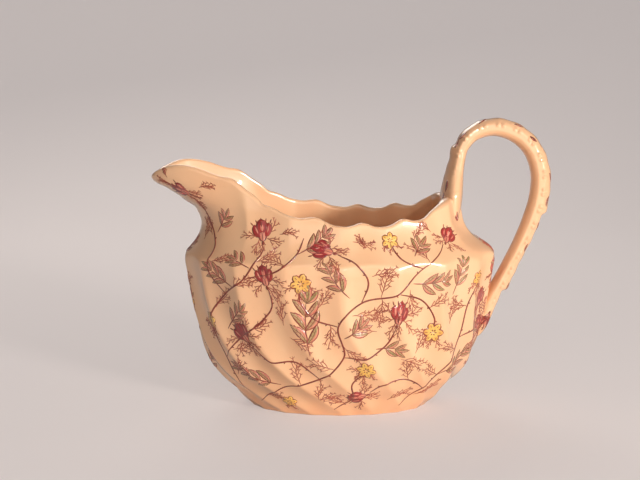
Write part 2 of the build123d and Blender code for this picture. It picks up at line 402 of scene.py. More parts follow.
    place = choose(INSIDE, inner, inner_floor)
    place = choose(RIM, rounded, place)
    place = choose(OUTSIDE, outer, place)
    place = choose(FOOT, under, place)
    place = choose(RECESS, recess_edge, place)
    shaped = first.geo("SetPosition", {"Geometry": tube, "Position": place * MM})
    deep = (along < OUTSIDE) * hollow
    marked = first.make("GeometryNodeStoreNamedAttribute", {"data_type": "FLOAT", "domain": "POINT"},
                        {"Geometry": shaped, "Name": "hollow", "Value": deep})
    end_rule(marked, given["Glaze"])
    return tree


def coated(name, coat_roughness):
    """A material under a clear coat: itself, its surface node and its coordinates."""
    material = bpy.data.materials.new(name)
    material.use_nodes = True
    tree = material.node_tree
    surface = tree.nodes["Principled BSDF"]
    surface.inputs["Coat Weight"].default_value = 1.0
    surface.inputs["Coat Roughness"].default_value = coat_roughness
    return material, surface, Wire(tree, tree.nodes.new("ShaderNodeTexCoord").outputs["Object"])


def glaze_material():
    """Glossy ivory glaze, faintly mottled: warm where it pools, with a painted pale highlight on the
    handle's beads.
    """
    material, surface, start = coated("ivory_glaze", 0.045)
    cloud, ripple, speck = start.noise(60.0, 3.0), start.noise(420.0, 1.0), start.noise(1800.0, 2.0)
    pool_and_bead_glint = start.make("ShaderNodeAttribute", {"attribute_name": "hollow"}, None, 2)
    FOOT_POOL = 0.012           # the glaze also gathers this far up from the foot
    near_foot = ((FOOT_POOL - start.parts()[2]) / FOOT_POOL).clamp()
    deeper = (pool_and_bead_glint * 0.30 + (cloud - 0.35).clamp() * 0.5 + near_foot * 0.4).clamp()
    colour = deeper.mix((0.90, 0.55, 0.32, 1), (0.82, 0.42, 0.22, 1))
    # Painted highlight: where the stored tone is below zero, on the handle's beads, the colour is lifted to
    # pale yellow-white.
    thin = (-2.4 * pool_and_bead_glint).clamp()
    colour = thin.mix(colour, (1.0, 0.93, 0.74, 1))
    fleck = ((speck - 0.68) * 12).clamp() * 0.35
    colour = fleck.mix(colour, (0.55, 0.36, 0.22, 1))
    colour.into(surface, "Base Color")
    (0.30 + cloud * 0.12).into(surface, "Roughness")
    surface.inputs["Coat IOR"].default_value = 1.5
    bump = start.make("ShaderNodeBump", None, {"Height": ripple, "Strength": 0.10, "Distance": 0.00015})
    bump.into(surface, "Normal")
    return material


glaze = glaze_material()
body = run_rule("glazed_body", body_rule(), {
    "Columns": FLUTES * 20, "Rows": 220, "Flutes": float(FLUTES), "Swirl": SWIRL_DEG,
    "Swirl Top": SWIRL_TOP, "Swirl Power": SWIRL_POWER, "Ridge Softness": 0.03,
    "Glaze": glaze,
})
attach(body, "root")
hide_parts("bowl", "pouring_lip", "foot_ring", "lip_slip_seam", "foot_slip_seam")

# ---- Handle -----------------------------------------------------------------------
# The high loop is cast apart and luted to the rim and the bowl with slip. Its outer edge
# is moulded as long overlapping leaves, and a row of small beads in pairs runs down each
# side, each with a painted pale highlight.
HANDLE_LINE = [
    (39.2, 62.5), (38.6, 68.0), (38.6, 73.5), (39.4, 79.5), (40.7, 85.5), (42.2, 91.0),
    (46.2, 95.4), (53.0, 97.2), (60.3, 95.1), (66.0, 89.8), (68.8, 82.0), (68.5, 73.5),
    (66.4, 65.5), (63.2, 57.8), (59.4, 50.2), (55.4, 42.4), (51.9, 35.4), (49.8, 29.4),
    (48.4, 25.6), (47.8, 24.2),
]
HANDLE_THICK = [
    (0, 3.0), (0.04, 5.6), (0.085, 7.4), (0.12, 6.9), (0.16, 5.4), (0.20, 4.6), (0.24, 5.2),
    (0.32, 6.0), (0.40, 6.3), (0.50, 6.2), (0.60, 5.9), (0.64, 6.0), (0.68, 5.7), (0.76, 5.1),
    (0.84, 5.0), (0.88, 5.6), (0.93, 5.6), (0.965, 4.6), (0.99, 2.8), (1, 0.8),
]
HANDLE_WIDTH = [
    (0, 18), (0.04, 20), (0.085, 20), (0.11, 17.6), (0.14, 14.2), (0.175, 11.4), (0.22, 9.4),
    (0.5, 8.6), (0.8, 8.2), (0.88, 8.6), (0.94, 8.4), (0.985, 5.8), (1, 1.2),
]
# How far the outer edge stands proud along each long leaf: most just before its end.
LEAF_EDGE = [
    (0, 0), (0.12, 0.1), (0.205, 1.0), (0.214, 1.0), (0.222, 0), (0.45, 0.3), (0.60, 1.1),
    (0.618, 1.1), (0.627, 0), (0.75, 0.3), (0.835, 1.0), (0.845, 1.0), (0.855, -0.5),
    (0.90, -0.1), (1, 0),
]
PAIR_PITCH = 5.8
BEADS_AT, BEAD_HALF = (0.36, 0.66), 0.13    # shares of the pitch
BEAD_ROW, BEAD_ROW_HALF = 0.34, 0.28        # shares of half the strap, from its middle out
GROOVE_ROW, GROOVE_HALF, GROOVE_DEPTH = 0.04, 0.30, 0.20
BEADS_FROM, BEADS_TO = 0.12, 0.93
EDGE_SWELL = 0.10
# The last tone sets how strongly each bead shows its painted pale highlight.
STRAP_TONE, EDGE_TONE, BEAD_HIGHLIGHT = 0.9, 0.5, 2.6


def handle_rule():
    tree, given = new_rule("beaded_strap", {
        "Path": "Object", "Around": "Int", "Along": "Int", "Pairs": "Float", "Bead Depth": "Float",
        "Glaze": "Material",
    })
    first = given["Around"]
    tube = first.make("GeometryNodeMeshCylinder", {"fill_type": "NGON"}, {
        "Vertices": given["Around"], "Side Segments": given["Along"], "Radius": 1.0, "Depth": 1.0,
    })
    x, y, z = first.geo("InputPosition").parts()
    along = z + 0.5
    path = first.geo("ObjectInfo", {"Object": given["Path"]}, "Geometry")
    spot = first.make("GeometryNodeSampleCurve", {"mode": "FACTOR", "use_all_curves": False},
                      {"Curves": path, "Factor": along})
    tangent = Wire(tree, spot.socket.node.outputs["Tangent"])
    centre = Wire(tree, spot.socket.node.outputs["Position"])
    tx, _, tz = tangent.parts()
    outward = first.vector(-1 * tz, 0.0, tx)
    thick = along.curve(HANDLE_THICK, 0, 1, 20)
    width = along.curve(HANDLE_WIDTH, 0, 1, 20)

    def bump(offset):
        """A round rise, 1 in the middle and 0 beyond one unit from it."""
        return (1 - offset * offset).clamp()

    # The beads come in pairs on both sides of the strap, above a shallow groove.
    phase = along * given["Pairs"]
    share = phase - phase.math("FLOOR", phase)
    tips = sum(bump((share - at) / BEAD_HALF) for at in BEADS_AT)
    fade = ((along - BEADS_FROM) * 14).clamp() * ((BEADS_TO - along) * 16).clamp()
    outer_side = x.math("MAXIMUM", x, 0)
    edge = outer_side * outer_side
    swell = (share * (2 * math.pi)).cos() * -EDGE_SWELL
    proud = along.curve(LEAF_EDGE, 0, 1, 1, True)
    through = x * thick * 0.5 + edge * (proud + fade * swell)
    bead_row = bump((x - BEAD_ROW) / BEAD_ROW_HALF)
    beads = bead_row * fade * tips * given["Bead Depth"]
    groove = bump((x - GROOVE_ROW) / GROOVE_HALF) * fade * GROOVE_DEPTH
    sideways = y / (first.math("ABSOLUTE", y) + 0.05)
    across = y * width * 0.5 + sideways * (beads - groove)
    place = centre + (outward * through + first.vector(0.0, 1.0, 0.0) * across) * MM
    shaped = first.geo("SetPosition", {"Geometry": tube, "Position": place})
    # The stored tone: a warm tint over the strap and more at its outer edge, and below zero on each bead,
    # where the glaze paints a pale highlight.
    deep = STRAP_TONE + ((1 - tips) * edge * EDGE_TONE - tips * bead_row * BEAD_HIGHLIGHT) * fade
    marked = first.make("GeometryNodeStoreNamedAttribute", {"data_type": "FLOAT", "domain": "POINT"},
                        {"Geometry": shaped, "Name": "hollow", "Value": deep})
    end_rule(marked, given["Glaze"])
    return tree


def smooth_path(points, steps):
    """Points along a smooth line that passes through all the given ones."""
    line = []
    ends = [points[0] * 2 - points[1]] + points + [points[-1] * 2 - points[-2]]
    for a, b, c, d in zip(ends, ends[1:], ends[2:], ends[3:]):
        for i in range(steps):
            t = i / steps
            line.append((b * 2 + (c - a) * t + (a * 2 - b * 5 + c * 4 - d) * t ** 2
                         + (b * 3 - a - c * 3 + d) * t ** 3) * 0.5)
    return line + [points[-1]]


def line_object(name, points):
    """A plain line through points, to be followed by a rule."""
    curve = bpy.data.curves.new(name, "CURVE")
    curve.dimensions = "3D"
    spline = curve.splines.new("POLY")
    spline.points.add(len(points) - 1)
    for spot, point in zip(spline.points, points):
        spot.co = (*point, 1)
    return add_object(name, curve)


handle_middle = smooth_path([Vector((x + BOWL_X, 0, z)) * MM for x, z in HANDLE_LINE], 8)
handle_length = sum((b - a).length for a, b in zip(handle_middle, handle_middle[1:]))
handle_path = line_object("handle_path", handle_middle)
handle = run_rule("loop_handle", handle_rule(), {
    "Path": handle_path, "Around": 88, "Along": 860, "Pairs": handle_length / MM / PAIR_PITCH,
    "Bead Depth": 0.36, "Glaze": glaze,
})
bpy.data.objects.remove(handle_path)
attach(handle, "root")
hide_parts("handle", "handle_upper_slip", "handle_lower_slip")

# ---- Printed stems and tendrils ---------------------------------------------------
# The floral print is laid on the jug before glazing: mulberry stems with small joints and
# thorns run over the bowl, neck and lip, and finer mossy tendrils branch off them. Each
# line is a film of ink, about a tenth of a millimetre proud of the body.
bowl_axis = Vector((BOWL_X * MM, 0, 0))
skin_points = [v.co for v in body.data.vertices]
skin_faces = [p.vertices for p in body.data.polygons
              if p.normal.xy.dot((p.center - bowl_axis).xy) > 0]
body_tree = BVHTree.FromPolygons(skin_points, skin_faces)
skin_mesh = bpy.data.meshes.new("outer_skin")
skin_mesh.from_pydata(skin_points, [], skin_faces)
skin_mesh.shade_smooth()
outer_skin = add_object("outer_skin", skin_mesh)
FRONT, BACK = -1, 1
LOWEST_INK = 1.6            # the print stops just above the foot's edge
RIM_MARGIN = 0.8            # and no line comes closer to the rim than this


def read_off(points, at):
    """A value from a table of points, by straight lines between them."""
    for (x0, y0), (x1, y1) in zip(points, points[1:]):
        if at <= x1:
            return y0 + (y1 - y0) * max(0.0, (at - x0) / (x1 - x0))
    return points[-1][1]


def ease(part):
    """A smooth climb from 0 to 1."""
    part = min(1.0, max(0.0, part))
    return part * part * (3 - 2 * part)


def skin_guess(turn, height):
    """Roughly where the outside is at an angle round the oval and a height, in mm."""
    along = math.cos(math.radians(turn))
    reach = read_off(HANDLE_REACH if along > 0 else LIP_REACH, height)
    pulled = read_off(LIP_PULL, height) * ease((-along - LIP_FROM) / (1 - LIP_FROM))
    across = read_off(HALF_DEPTH, height) * math.sin(math.radians(turn))
    across *= 1 - LIP_SQUEEZE * read_off(LIP_NARROWING, height) * ease(-along / LIP_SHOULDER)
    return Vector((BOWL_X + reach * along - pulled, across, height))


def on_skin(turn, height):
    """The point of the glazed outside at an angle and a height, in metres."""
    return body_tree.find_nearest(skin_guess(turn, height) * MM)[0]


def below_rim(turn, height):
    """How far below the rim's edge a place on the skin is, in mm."""
    return (on_skin(turn, PROFILE_SPAN).z - on_skin(turn, height).z) / MM


def skin_scale(turn, height):
    """The millimetres over the skin for one degree round the oval and for one of height."""
    here = skin_guess(turn, height)
    return (skin_guess(turn + 1, height) - here).length, (skin_guess(turn, height + 1) - here).length


def step_on_skin(turn, height, across, up):
    """Moves over the skin by millimetres across and up, from an angle and a height."""
    per_degree, per_rise = skin_scale(turn, height)
    return turn + across / max(per_degree, 0.2), max(LOWEST_INK, height + up / max(per_rise, 0.5))


def spot(x, height, side):
    """The angle round the oval of a point seen from one side, x mm from the bowl's middle."""
    low, high = 0.0, 180.0
    for _ in range(20):
        middle = (low + high) / 2
        if skin_guess(middle, height).x > x + BOWL_X:
            low = middle
        else:
            high = middle
    return side * low, height


def stroke_mesh(name, strokes):
    """Lines on the skin as bare edges, each point with its ink width."""
    places, edges, widths = [], [], []
    for path, width in strokes:
        start = len(places)
        for i, (turn, height) in enumerate(path):
            if below_rim(turn, height) < RIM_MARGIN:
                break
            places.append(on_skin(turn, height))
            taper = min(1.0, 0.45 + 3.0 * min(i, len(path) - 1 - i) / len(path))
            widths.append(width * taper * MM)
            if i:
                edges.append((start + i - 1, start + i))
    mesh = bpy.data.meshes.new(name)
    mesh.from_pydata(places, edges, [])
    mesh.attributes.new("width", "FLOAT", "POINT").data.foreach_set("value", widths)
    return mesh


def lie_on(start, surface):
    """The nearest point of a surface, and the way that the surface faces there."""
    mesh = start.geo("ObjectInfo", {"Object": surface}, "Geometry")
    position = start.geo("InputPosition")
    normal = start.geo("InputNormal")
    return [start.make("GeometryNodeSampleNearestSurface", {"data_type": "FLOAT_VECTOR"},
                       {"Mesh": mesh, "Value": value, "Sample Position": position})
            for value in (position, normal)]


def stored(start, name, kind):
    """A value that each point carries under a name."""
    return start.make("GeometryNodeInputNamedAttribute", {"data_type": kind}, {"Name": name},
                      "Attribute")


def stroke_rule():
    """Lays lines of ink on a surface: flat ribbons that follow it."""
    tree, given = new_rule("ink_lines", {
        "Geometry": "Geometry", "Surface": "Object", "Spacing": "Float", "Rise": "Float",
        "Flatness": "Float", "Sides": "Int", "Ink": "Material",
    })
    lines = given["Geometry"]
    curve = lines.geo("MeshToCurve", {"Mesh": lines})
    even = lines.make("GeometryNodeResampleCurve", {"mode": "LENGTH"},
                      {"Curve": curve, "Length": given["Spacing"]})
    near, facing = lie_on(lines, given["Surface"])
    laid = lines.geo("SetPosition", {"Geometry": even, "Position": near + facing * given["Rise"]})
    turned = lines.make("GeometryNodeSetCurveNormal", {"mode": "FREE"},
                        {"Curve": laid, "Normal": facing})
    ring = lines.make("GeometryNodeCurvePrimitiveCircle", {"mode": "RADIUS"},
                      {"Resolution": given["Sides"], "Radius": 0.5})
    flat = lines.geo("Transform", {
        "Geometry": ring, "Scale": lines.vector(given["Flatness"], 1.0, 1.0)})
    ribbon = lines.geo("CurveToMesh", {
        "Curve": turned, "Profile Curve": flat, "Scale": stored(lines, "width", "FLOAT"),
        "Fill Caps": True})
    end_rule(ribbon, given["Ink"])
    return tree


def ink_material(name, colour, deep, mottle):
    """Printed ink under the glaze: a little thick and thin, with the glaze's own gloss."""
    material, surface, start = coated(name, 0.05)
    grain = start.noise(mottle, 2.0)
    ((grain - 0.35) * 3.2).clamp().mix(colour, deep).into(surface, "Base Color")
    surface.inputs["Roughness"].default_value = 0.35
    return material


mulberry = ink_material("mulberry_ink", (0.30, 0.050, 0.025, 1), (0.17, 0.020, 0.015, 1), 500.0)
dusky_pink = ink_material("dusky_pink_ink", (0.44, 0.10, 0.05, 1), (0.30, 0.05, 0.03, 1), 400.0)

rng = random.Random(7)
stems, tendrils, leaves, heads = [], [], [], []
LEAF, BLOOM, STAR = 0, 1, 2
LEAF_LEAN, HAIR_LEAN, FORK_LEAN, THORN_LEAN, MOSS_SWING = 36, 52, 46, 55, 44    # degrees
THORN_STEP, TWIG_WIDTH = 0.45, 0.46


def heading(path, i):
    """The direction of a path on the skin at one of its points, in degrees from up."""
    (t0, h0), (t1, h1) = path[max(0, i - 1)], path[min(len(path) - 1, i + 1)]
    per_degree, per_rise = skin_scale(*path[i])
    return math.degrees(math.atan2((t1 - t0) * per_degree, (h1 - h0) * per_rise))


def walk(start, way, bends, stride):
    """A path that sets out from a point in one direction and turns by each bend."""
    path = [start]
    for bend in bends:
        way += bend
        across, up = math.sin(math.radians(way)) * stride, math.cos(math.radians(way)) * stride
        path.append(step_on_skin(*path[-1], across, up))
    return path


def grow_stem(knots, width=0.62):
    """A stem through knots, with a slight joint or thorn every few millimetres."""
    path = [tuple(point) for point in smooth_path([Vector(knot) for knot in knots], 10)]
    stems.append((path, width))
    for i in range(5, len(path) - 4, 9):
        way = heading(path, i) + rng.choice((-1, 1)) * THORN_LEAN
        stems.append((walk(path[i], way, [0, 0], THORN_STEP), width * 0.8))
    return path


def grow_spray(start, way, count, leaf_size, curl, leaf_gap=2.6):
    """A leafy twig: leaves in pairs along a curling stem, and one at its tip."""
    path = walk(start, way, [curl] * (count * 4), leaf_gap / 4)
    stems.append((path, TWIG_WIDTH))
    for i in range(4, len(path), 4):
        size = leaf_size * (1.12 - 0.30 * i / len(path))
        for side in (-1, 1):
            lean = heading(path, i) + side * LEAF_LEAN
            leaves.append((path[i], lean, size * rng.uniform(0.9, 1.1), LEAF))
    leaves.append((path[-1], heading(path, len(path) - 1), leaf_size * 0.9, LEAF))


def grow_moss(start, way, reach, twigs, fine=0.29):
    """A mossy tendril: a fine curl with short forked hairs on both sides."""
    bends = [rng.uniform(-16, 16) for _ in range(12)]
    path = walk(start, way, bends, reach / 12)
    tendrils.append((path, fine * 1.2))
    for k in range(twigs):
        i = 2 + int(k * 9 / twigs)
        side = 1 if k % 2 else -1
        length = reach * rng.uniform(0.07, 0.11)
        hair = walk(path[i], heading(path, i) + side * HAIR_LEAN, [side * -9] * 4, length)
        tendrils.append((hair, fine))
        for fork in (-1, 1):
            tip = walk(hair[3], heading(hair, 3) + fork * FORK_LEAN, [0] * 2, length * 0.6)
            tendrils.append((tip, fine))


def set_head(place, way, size, kind, moss=4):
    """A flower head, with mossy hairs round its foot."""
    heads.append((place, way, size, kind))
    for k in range(moss):
        swing = 180 + (k - (moss - 1) / 2) * MOSS_SWING
        out = math.radians(way + swing)
        centre = 0.28 * size if kind == BLOOM else 0
        across = centre * math.sin(math.radians(way)) + 0.2 * size * math.sin(out)
        up = centre * math.cos(math.radians(way)) + 0.2 * size * math.cos(out)
        grow_moss(step_on_skin(*place, across, up), way + swing, size * rng.uniform(0.55, 0.8), 5)


def dress_side(side):
    """The vines of one side of the jug, drawn as seen from that side."""
    def at(x, height):
        return spot(x, height, side)

    def lean(way):
        # The angle round the oval grows towards the lip at the back, so it turns over.
        return -way * side

    # Four vines climb from the foot, fork, and end in heads; each list is one run.
    for run in [
        [(-27, 4), (-19, 11), (-7, 15), (1, 23), (-1, 34), (7, 42), (19, 45), (27, 53), (34, 60)],
        [(-7, 15), (-15, 21), (-23, 21), (-29, 25)],
        [(1, 23), (9, 23), (15, 27), (18, 33)],
        [(-1, 34), (-8, 36), (-13, 42), (-13, 47)],
        [(7, 42), (9, 49), (5, 55), (-1, 58)],
        [(19, 45), (27, 42), (31, 36), (31, 32)],
        [(20, 3.5), (28, 10), (36, 17), (41, 27), (43, 38), (46, 46)],
        [(28, 10), (22, 14), (15, 13), (10, 9.5)],
        [(41, 27), (46, 30), (48, 35)],
        [(-31, 8), (-39, 20), (-44, 32), (-39, 43), (-32, 49), (-27, 56), (-25, 60)],
        [(-39, 20), (-33, 29), (-27, 34), (-23, 40), (-24, 46)],
        [(-39, 43), (-44, 50), (-42, 58), (-44, 67), (-49, 74)],
        [(-32, 49), (-22, 52), (-15, 57), (-12, 63)],
        [(27, 53), (20, 56), (16, 61)],
        [(-2, 3), (4, 7), (4, 13), (8, 17)],
    ]:
        grow_stem([at(x, height) for x, height in run])

    for x, height, way, size, kind, moss in [
        (-31, 27, -35, 8.6, BLOOM, 6), (18.5, 34.5, 12, 8.8, BLOOM, 6),
        (-2.5, 58.5, -70, 8.4, BLOOM, 5), (48.4, 36.5, 8, 7.4, BLOOM, 3),
        (-25.5, 61.5, -14, 8.4, BLOOM, 5), (35, 60.5, 50, 7.4, BLOOM, 4),
        (-50.5, 75.5, -42, 7.6, BLOOM, 3), (-24.5, 47, -8, 8.0, BLOOM, 5),
        (9, 8.5, -100, 7.4, BLOOM, 5), (-13, 48.5, 10, 7.2, STAR, 4),
        (31, 30.5, 20, 7.4, STAR, 4), (8.5, 18.5, 30, 6.8, STAR, 4),
        (-44, 33, 10, 6.8, STAR, 3), (16, 62, 0, 6.0, STAR, 3), (46.5, 47.5, 0, 6.0, STAR, 3),
        (-17, 5.4, 20, 5.6, STAR, 2),
    ]:
        set_head(at(x, height), lean(way), size, kind, moss)

    for x, height, way, pairs, leaf, curl in [
        (-10, 24, -10, 4, 7.6, 1.0), (33, 14, 62, 4, 6.0, -1.4), (24, 48, 100, 3, 5.6, -2.0),
        (3, 44, -50, 3, 5.8, 1.6), (-36, 46, -70, 3, 5.4, 1.4), (-20, 12, -80, 4, 5.8, 1.2),
        (38, 43, 20, 3, 5.4, -1.2), (-14, 58, 60, 3, 5.4, -1.4), (12, 26, 86, 2, 5.2, 1.2),
        (-41, 63, 30, 2, 4.8, 1.0), (24, 57, 40, 2, 5.0, 1.4), (1, 30, 60, 2, 5.4, -1.6),
        (-38, 31, 30, 3, 5.2, 1.6), (41, 20, 50, 2, 5.0, 1.2), (-30, 53, -60, 2, 5.0, -1.4),
    ]:
        grow_spray(at(x, height), lean(way), pairs, leaf, lean(curl), leaf * 0.60)

    for x, height, way, reach in [
        (-13, 13, -30, 9), (-2, 19, -60, 9), (1, 27, 150, 8), (4, 38, 100, 10), (-4, 35, 170, 8),
        (13, 44, 20, 9), (13, 44, 150, 9), (29, 55, -10, 8), (23, 46, 170, 8), (29, 39, 70, 8),
        (25, 7, 80, 9), (33, 14, -40, 8), (40, 23, -60, 8), (43, 38, -50, 8), (23, 14, -20, 8),
        (-35, 14, 30, 9), (-41, 26, -50, 8), (-42, 38, 60, 8), (-36, 46, 40, 8), (-28, 55, 70, 8),
        (-30, 32, 60, 8), (-36, 24, 80, 8), (-43, 54, 60, 7), (-45, 69, 40, 6), (-43, 62, -40, 6),
        (-18, 54, -40, 8), (-8, 40, 60, 8), (-19, 34, 0, 9), (-17, 30, 120, 8), (2, 50, -60, 8),
        (10, 51, 60, 8), (20, 22, 120, 9), (25, 24, 40, 8), (-7, 7, -20, 8), (-7, 7, 60, 8),
        (2, 5, -60, 8), (16, 6, 30, 8), (-25, 7, 80, 7), (37, 33, 10, 8), (12, 32, -60, 8),
        (-20, 64, 80, 6), (4, 62, 80, 7), (24, 62, 70, 6), (8, 60, -20, 5), (30, 64, -20, 5),
        (-50, 70.5, -40, 6), (-46, 60, 20, 7), (-58, 81, -20, 5), (-51, 66, -20, 5),
        (-55, 78.5, -80, 6), (-47, 78, 60, 6),
    ]:
        grow_moss(at(x, height), lean(way), reach, 9)


def dress_end(middle):
    """A narrow spray up one end of the jug, under the lip or behind the handle."""
    def at(offset, height):
        return middle + offset, height

    grow_stem([at(-8, 4), at(4, 12), at(-5, 23), at(3, 34), at(-3, 44), at(2, 52), at(-2, 59)])
    for offset, height, way in [(1, 13, 50), (-4, 24, -46), (2, 34, 40), (-2, 45, -44), (1, 53, 36)]:
        grow_spray(at(offset, height), way, 2, 5.4, way / -30, 3.2)
    for offset, height, way in [(-5, 14, -40), (5, 22, 60), (-7, 33, -60), (6, 42, 50), (-5, 53, -30),
                                (4, 6, 70), (7, 30, 40), (-7, 42, -20)]:
        grow_moss(at(offset, height), way, 7.5, 8)
    set_head(at(-9, 27), -30, 7.2, BLOOM, 4)
    set_head(at(9, 37.5), 20, 6.6, STAR, 3)
    set_head(at(-8, 47), -20, 7.2, BLOOM, 4)


dress_side(FRONT)
dress_side(BACK)
dress_end(0)
dress_end(180)
stem_tree = stroke_rule()
lines = {"Surface": outer_skin, "Spacing": 0.35 * MM, "Rise": 0.03 * MM, "Flatness": 0.34, "Sides": 6}
print_stems = run_rule("print_stems", stem_tree, {**lines, "Ink": mulberry},
                       stroke_mesh("stem_lines", stems))
print_moss = run_rule("print_moss", stem_tree, {**lines, "Sides": 4, "Flatness": 0.6, "Ink": dusky_pink},
                      stroke_mesh("moss_lines", tendrils))
for piece in (print_stems, print_moss):
    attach(piece, "root")

# ---- Printed flowers and leaves ---------------------------------------------------
# Rosebuds, six-petalled yellow blossoms and leaves, each printed in flat inks one over
# another: a dark outline first, then its colour, then dark veins, folds and a heart.
MOTIF_RIM, MOTIF_FLOOR = -0.03, -0.08


def pad_mesh(name, pads):
    """Thin pads with domed tops; a pad is (centre line, half widths, lift), for size 1."""
    places, faces, lifts = [], [], []
    for line, halves, lift in pads:
        start = len(places)
        for i, (x, y) in enumerate(line):
            x0, y0 = line[max(0, i - 1)]
            x1, y1 = line[min(len(line) - 1, i + 1)]
            length = math.hypot(x1 - x0, y1 - y0)
            side = (-(y1 - y0) / length, (x1 - x0) / length)
            half = halves[i]
            for share, rise in ((1, MOTIF_RIM), (0.62, lift), (-0.62, lift), (-1, MOTIF_RIM),
                                (0, MOTIF_FLOOR)):
                places.append((x + side[0] * half * share, y + side[1] * half * share, 0))
                lifts.append(rise * MM)
        for i in range(len(line) - 1):
            a, b = start + 5 * i, start + 5 * (i + 1)
            for k in range(5):
                n = (k + 1) % 5
                faces.append((a + k, b + k, b + n, a + n))
        faces.append(tuple(start + k for k in range(5)))
        last = start + 5 * (len(line) - 1)
        faces.append(tuple(last + k for k in reversed(range(5))))
    mesh = bpy.data.meshes.new(name)
    mesh.from_pydata(places, [], faces)
    mesh.attributes.new("lift", "FLOAT", "POINT").data.foreach_set("value", lifts)
    return mesh


def petal(x, y, way, length, half, lift, grow=0.0, rows=6, bow=0.0, blunt=0.75):
    """A petal or leaf that springs from a point: a pointed or round-ended pad."""
    turn = math.radians(way)
    line, halves = [], []
    for i in range(rows):
        t = i / (rows - 1)
        out = -grow + t * (length + 2 * grow)
        lean = bow * math.sin(math.pi * t)
        line.append((x + out * math.sin(turn) + lean * math.cos(turn),
                     y + out * math.cos(turn) - lean * math.sin(turn)))
        halves.append(0.010 + (half + grow - 0.010) * math.sin(math.pi * t) ** blunt)
    return line, halves, lift


def bloom_pads(ink):
    """A half-open rosebud that swells out of a mossy calyx, one unit tall."""
    cup = (0, 0.0, 0, 0.50, 0.17)
    petals = [(0, 0.24, 0, 0.70, 0.27, 0), (-0.10, 0.20, -20, 0.56, 0.17, -0.04),
              (0.10, 0.20, 20, 0.56, 0.17, 0.04)]
    if ink == "outline":
        sepals = [petal(0, 0.10, way, 0.50, 0.045, 0.04, 0, 5, bow) for way, bow in
                  ((-48, 0.06), (-20, 0.08), (20, -0.08), (48, -0.06))]
        crown = [petal(0.17 * k, 0.80 - 0.05 * abs(k), 16 * k, 0.20, 0.035, 0.04, 0, 4)
                 for k in (-2, -1, 0, 1, 2)]
        return ([petal(*p[:5], 0.05, 0.03, 7, p[5], 0.5) for p in petals]
                + [petal(*cup, 0.05, 0.03)] + sepals + crown)
    if ink == "red":
        return [petal(*p[:5], 0.085, 0, 7, p[5], 0.5) for p in petals]
    if ink == "pink":
        return [petal(*cup, 0.09), petal(0, 0.42, 0, 0.34, 0.10, 0.12, rows=5, blunt=0.5),
                petal(-0.19, 0.36, -16, 0.30, 0.045, 0.12, rows=5),
                petal(0.20, 0.34, 16, 0.30, 0.045, 0.12, rows=5)]
    if ink == "detail":
        folds = [petal(-0.02, 0.34, -14, 0.46, 0.028, 0.14, 0, 6, -0.10),
                 petal(0.02, 0.34, 14, 0.46, 0.028, 0.14, 0, 6, 0.10),
                 petal(0, 0.62, 0, 0.20, 0.055, 0.14, 0, 4),
                 petal(-0.10, 0.84, 88, 0.20, 0.030, 0.14, 0, 4)]
        ribs = [petal(0.05 * k, 0.04, 12 * k, 0.30, 0.022, 0.13, 0, 4) for k in (-2, 0, 2)]
        return folds + ribs + [petal(0, 0.04, 180, 0.20, 0.07, 0.13, 0, 4)]
    return []


def star_pads(ink):
    """An open blossom of six round petals, one unit across."""
    ways = [60 * k + 10 for k in range(6)]

    def ring(radius, length, half, lift, grow=0.0, rows=6, blunt=0.5):
        return [petal(radius * math.sin(math.radians(way)), radius * math.cos(math.radians(way)),
                      way, length, half, lift, grow, rows, 0, blunt) for way in ways]

    if ink == "outline":
        return ring(0.12, 0.36, 0.185, 0.05, 0.030, 6, 0.42)
    if ink == "yellow":
        return ring(0.04, 0.44, 0.180, 0.085, 0, 6, 0.42)
    if ink == "detail":
        return ring(0.07, 0.10, 0.040, 0.13, 0, 4) + ring(0.26, 0.13, 0.020, 0.12, 0, 4)
    return []


def leaf_pads(ink):
    """A pointed leaf with a midrib and side veins, one unit long."""
    if ink == "outline":
        return [petal(0, 0, 0, 1.0, 0.185, 0.05, 0.026, 7, 0.09)]
    if ink == "leaf":
        return [petal(0, 0.02, 0, 0.94, 0.160, 0.08, 0, 7, 0.09)]
    if ink == "pink":
        return [petal(0.085, 0.10, 2, 0.74, 0.062, 0.10, 0, 5, 0.09)]
    if ink == "detail":
        veins = [petal(0.02, 0.18 + 0.2 * k, side * 40, 0.16, 0.010, 0.12, 0, 3)
                 for k in range(3) for side in (-1, 1)]
        return [petal(0, 0, 0, 0.88, 0.022, 0.12, 0, 5, 0.09)] + veins
    return []


def motif_rule():
    """Sets motifs on a surface and lays every one of their points on it."""
    tree, given = new_rule("ink_motifs", {
        "Geometry": "Geometry", "Surface": "Object", "Motifs": "Collection", "Ink": "Material",
    })
    points = given["Geometry"]
    near, facing = lie_on(points, given["Surface"])
    motifs = points.make("GeometryNodeCollectionInfo", None,
                         {"Collection": given["Motifs"], "Separate Children": True, "Reset Children": True})
    turned = points.make("FunctionNodeAxesToRotation", {"primary_axis": "Z", "secondary_axis": "Y"},
                         {"Primary Axis": facing, "Secondary Axis": stored(points, "way", "FLOAT_VECTOR")})
    placed = points.geo("InstanceOnPoints", {
        "Points": points, "Instance": motifs, "Pick Instance": True,
        "Instance Index": stored(points, "kind", "INT"), "Rotation": turned,
        "Scale": stored(points, "size", "FLOAT")})
    real = points.geo("RealizeInstances", {"Geometry": placed})
    laid = points.geo("SetPosition", {
        "Geometry": real, "Position": near + facing * stored(points, "lift", "FLOAT")})
    end_rule(laid, given["Ink"])
    return tree


def body_mark(spot_on_skin, way, size, kind):
    """A motif on the body: its place, the way its top points, its size and its kind."""
    turn, height = spot_on_skin
    here = on_skin(turn, height)
    up = on_skin(*step_on_skin(turn, height, 0, 0.6)) - here
    across = on_skin(*step_on_skin(turn, height, 0.6, 0)) - here
    lean = math.radians(way)
    return here, up.normalized() * math.cos(lean) + across.normalized() * math.sin(lean), size, kind


